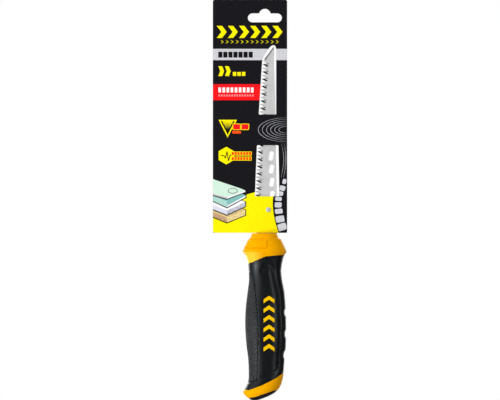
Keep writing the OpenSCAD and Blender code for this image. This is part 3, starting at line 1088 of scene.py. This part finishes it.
def board(v_left, far, v_low, v_bottom, thick_left, thick_right, rim, face, rim_left, rim_right):
    """One board of the drawn stack: a black outline, its top face and two rims."""
    cu, cv = far
    foot = v_bottom + thick_left
    fold = foot - rim
    top = [(0.05, v_left), (cu - 2.5, cv - 1.3), (cu, cv), (FOLD_U, fold), (FOLD_U, v_bottom),
           (0.05, v_low)]
    left = [(0.05, v_low), (FOLD_U, v_bottom), (FOLD_U, foot), (0.05, v_low + thick_left)]
    right = [(FOLD_U, fold), (cu, cv), (cu, cv + thick_right), (FOLD_U, foot)]
    line = [(0.05, v_left - 0.3), (cu - 2.3, cv - 1.7), (cu + 0.8, cv - 0.3),
            (cu + 0.8, cv + thick_right + 0.5), (FOLD_U, foot + 1.0), (0.05, v_low + thick_left + 0.95)]
    return ("line", line), (face, top), (rim_left, left), (rim_right, right)


def tile(u, v, w, h, lean):
    """A leaning block with round corners, cut off at the card's side."""
    box = turned(strip(-w / 2, -h / 2, w / 2, h / 2), lean, u, v)
    return rounded([(min(x, CARD_W - 0.2), y) for x, y in box], 1.4)


def ripple(k):
    share = 0.28 + 0.72 * k / (RIPPLES - 1)
    turn = [math.radians(a) for a in range(90, 271, 15)]
    return ribbon([(CARD_W - 0.3 + RIPPLE_RU * share * math.cos(a),
                    RIPPLE_V + RIPPLE_RV * share * math.sin(a)) for a in turn], 0.55)


def print_shapes():
    """Every printed shape as (ink, outline in u and v, layer, holes)."""
    out = []

    def add(color, shapes, layer=1, holes=()):
        out.extend((color, shape, layer, holes) for shape in shapes)

    # chevrons and a dashed rule at the head
    add("yellow", chevrons(3.4, 23.1, 60.9, 33.7, 6, 1.0, 4.6))
    add("dull_yellow", chevrons(6.7, 35.7, 57.7, 38.4, 12, 1.6, 0.95))
    # grey band, cut by the tip window
    add("grey", [beside_window(TIP_WINDOW, *GREY_BAND, side) for side in ("left", "right")])
    add("line", blocks(4.7, 45.8, 34.9, 50.9, 7, 0.75), 2)
    # two chevrons, and three small blocks
    add("yellow", chevrons(4.8, 58.4, 15.6, 67.0, 2, 0.7, 3.4))
    add("yellow", blocks(17.5, 63.4, 28.4, 66.9, 3, 0.9))
    # red band
    add("red", [beside_window(TIP_WINDOW, *RED_BAND, "left")])
    add("white", blocks(4.9, 77.0, 35.6, 81.4, 9, 1.25), 2)
    add("pink", blocks(4.9, 83.1, 35.6, 84.9, 14, 1.0, 0.2), 2)
    # triangle badge
    add("yellow", [[(5.0, 105.3), (21.1, 105.3), (12.85, 120.8)]])
    add("line", [[(6.9, 106.3), (19.2, 106.3), (12.95, 118.4)]], 2)
    add("fade", [[(8.2, 106.3), (17.9, 106.3), (13.0, 116.0)]], 3)
    add("yellow", blocks(17.2, 108.6, 31.8, 114.2, 2, 0.2, 0.8), 3)
    add("red", blocks(17.7, 109.1, 31.3, 113.7, 2, 1.2, 0.6), 4)
    add("orange", [strip(17.0, 114.9, 24.6, 117.3, 0.4)], 3)
    # hexagon badge with a plain wave
    turns = [math.radians(60 * i) for i in range(6)]
    add("yellow", [[(HEX_U + HEX_R * math.sin(a), HEX_V - HEX_R * math.cos(a)) for a in turns]])
    add("line", [ribbon([a, b], 0.75, False) for a, b in zip(PULSE, PULSE[1:])], 2)
    for v in (133.0, 137.4):
        add("yellow", [strip(15.9, v, 34.0, v + 3.6, 0.6)], 3)
        add("orange", blocks(16.4, v + 0.4, 33.6, v + 3.2, 7, 0.5, 0.3), 4)
    # yellow field at the foot
    foot = arc(CORNER + PRINT_INSET, CARD_H - CORNER, CORNER, 90, 180, 6)
    add("yellow", [FIELD_TOP + [(u, v - PRINT_INSET) for u, v in foot]])
    # stack of boards, lowest first
    for k, one in enumerate(BOARDS):
        for i, (color, shape) in enumerate(board(*one)):
            add(color, [shape], 2 + 2 * k + min(i, 1))
    turns = [t / 24 * math.tau for t in range(24)]
    outer = [(LEAF_U + LEAF_RU * math.cos(a), LEAF_V + LEAF_RV * math.sin(a)) for a in turns]
    inner = [(LEAF_U + (u - LEAF_U) * 0.87, LEAF_V + (v - LEAF_V) * 0.79) for u, v in outer]
    add("leaf", [outer], 10, [inner])
    # plain tiles down the right-hand side, and a few sweeping lines above them
    add("silver", [tile(*one) for one in TILES])
    add("ash", [ripple(k) for k in range(RIPPLES)])
    for k in range(2):
        add("ash", [ribbon([(60.0 + 2.4 * k, 126), (61.6 + 2.0 * k, 134), (62.0 + 1.8 * k, 142),
                            (60.9 + 2.0 * k, 150), (59.8 + 2.0 * k, 156)], 0.5)])
    return out


def make_print():
    """All printed shapes as thin layers of ink on the front panel."""
    inks = make_inks()
    inks["fade"] = faded_ink("ink_fade", lin(250, 232, 0), lin(24, 23, 26),
                             CARD_HI.z - 106.5, CARD_HI.z - 113.5)
    names = list(inks)
    pts, faces, mats = [], [], []
    for color, shape, layer, holes in print_shapes():
        outline, *cut = [[to_card(u, v) for u, v in one] for one in (shape, *holes)]
        top = CARD_LO.y - FILM * layer
        p, front, back, walls = slab(outline, cut, top, CARD_LO.y + 0.02, base=len(pts))
        pts += p
        faces += front + back + walls
        mats += [names.index(color)] * len(front + back + walls)
    obj = new_mesh("card_print", pts, faces, list(inks.values()), mats)
    place(obj, "card", "card_print")


# ---- stage ----

STAGE_RADIUS, STAGE_BEND, STAGE_WALL, STAGE_DROP = 9000, 2500, 7000, 50
FILL_LIGHT, BACKDROP = 0.13, 1.0
LIGHT_DISTANCE = 2.2
LIGHTS = (
    # name, azimuth, elevation, width, height, radiance
    ("left_front", -42, -2, 1.5, 2.2, 1.7),
    ("left_side", -88, 4, 0.9, 2.4, 1.1),
    ("left_low", -54, -16, 0.9, 0.5, 18.0),
    ("left_high", -72, 34, 0.7, 0.9, 2.0),
    ("right_side", 43, 5, 0.8, 1.8, 3.3),
    ("low_left", -60, -48, 0.9, 0.6, 1.8),
    ("top", 0, 72, 1.4, 1.3, 4.2),
    ("bottom", 0, -72, 1.4, 1.3, 2.0),
    ("back_left", -152, 5, 1.3, 1.8, 3.0),
    ("back_right", 158, 5, 1.2, 1.8, 2.8),
)
CAMERA_DISTANCE = 5.0
CAMERA_SENSOR = 36
CAMERA_FIT = 0.9975
CAMERA_ASPECT = 500 / 400


def mixed(tree, out, share, first, second):
    """Shows the first shader where the share is 0 and the second where it is 1."""
    mix = new_node(tree, "MixShader", {0: share, 1: first, 2: second})
    feed(tree, out, {"Surface": mix["Shader"]})


def white(tree, kind, strength):
    return new_node(tree, kind, {"Color": (1, 1, 1, 1), "Strength": strength})[0]


def make_stage():
    """A white floor that sweeps up all round into a backdrop, and is clear when seen from outside."""
    mat = bpy.data.materials.new("stage_white")
    tree, out = bare_tree(mat, "ShaderNodeOutputMaterial")
    mixed(tree, out, new_node(tree, "NewGeometry", {})["Backfacing"],
          white(tree, "Emission", BACKDROP), new_node(tree, "BsdfTransparent", {})["BSDF"])
    reach = max(joint["range_m"][1] for joint in frame["record"]["behaviour"]["joints"])
    floor_z = CAD_LO[2] / MM - reach / MM - STAGE_DROP
    sweep = arc(STAGE_RADIUS - STAGE_BEND, STAGE_BEND, STAGE_BEND, -90, 0, 9)
    profile = [(0.1, 0), *sweep, (STAGE_RADIUS, STAGE_WALL)]
    cols = 64
    turns = [2 * math.pi * c / cols for c in range(cols)]
    pts = [(r * math.cos(a), r * math.sin(a), floor_z + h) for r, h in profile for a in turns]
    obj = new_mesh("stage_sweep", pts, grid_faces(len(profile), cols), [mat], smooth=True)
    if obj.data.polygons[0].normal.z < 0:
        obj.data.flip_normals()
    for ray in ("diffuse", "glossy", "transmission", "shadow", "volume_scatter"):
        setattr(obj, "visible_" + ray, False)


def make_world():
    """Dim white light from all round, and plain white wherever the camera sees past the stage."""
    world = bpy.data.worlds.new("studio")
    bpy.context.scene.world = world
    tree, out = bare_tree(world, "ShaderNodeOutputWorld")
    mixed(tree, out, new_node(tree, "LightPath", {})["Is Camera Ray"],
          white(tree, "Background", FILL_LIGHT), white(tree, "Background", BACKDROP))


def softbox(name, azimuth, elevation, width, height, radiance):
    """A plain soft light aimed at the object: azimuth is to the right of the front, radiance as seen."""
    mid = (Vector(CAD_LO) + Vector(CAD_HI)) / 2
    a, e = math.radians(azimuth), math.radians(elevation)
    way = Vector((math.sin(a) * math.cos(e), -math.cos(a) * math.cos(e), math.sin(e)))
    data = bpy.data.lights.new(name, "AREA")
    data.shape = "RECTANGLE"
    data.size, data.size_y = width, height
    data.energy = radiance * math.pi * width * height
    obj = new_object(name, data)
    obj.location = mid + way * LIGHT_DISTANCE
    obj.rotation_euler = (-way).to_track_quat("-Z", "Y").to_euler()


def make_camera():
    """Square on to the front from far off, framed on the whole object."""
    lo, hi = Vector(CAD_LO), Vector(CAD_HI)
    mid = (lo + hi) / 2
    frame_w = (hi.z - lo.z) * CAMERA_FIT * CAMERA_ASPECT
    data = bpy.data.cameras.new("camera")
    data.sensor_width = CAMERA_SENSOR
    data.lens = CAMERA_SENSOR * CAMERA_DISTANCE / frame_w
    data.clip_end = 100
    obj = new_object("camera", data)
    obj.location = (mid.x, -CAMERA_DISTANCE, mid.z)
    obj.rotation_euler = (math.pi / 2, 0, 0)
    bpy.context.scene.camera = obj
    bpy.context.scene.view_settings.view_transform = "Standard"


make_guard()
make_band()
make_grip()
make_finger_pad()
make_butt_pad()
make_badge()
make_blade()
make_card_front()
make_card_back()
make_print()
make_tack("tack_head_front", -1, "tack_front")
make_tack("tack_head_back", 1, "tack_back")
make_stage()
make_world()
for light in LIGHTS:
    softbox(*light)
make_camera()
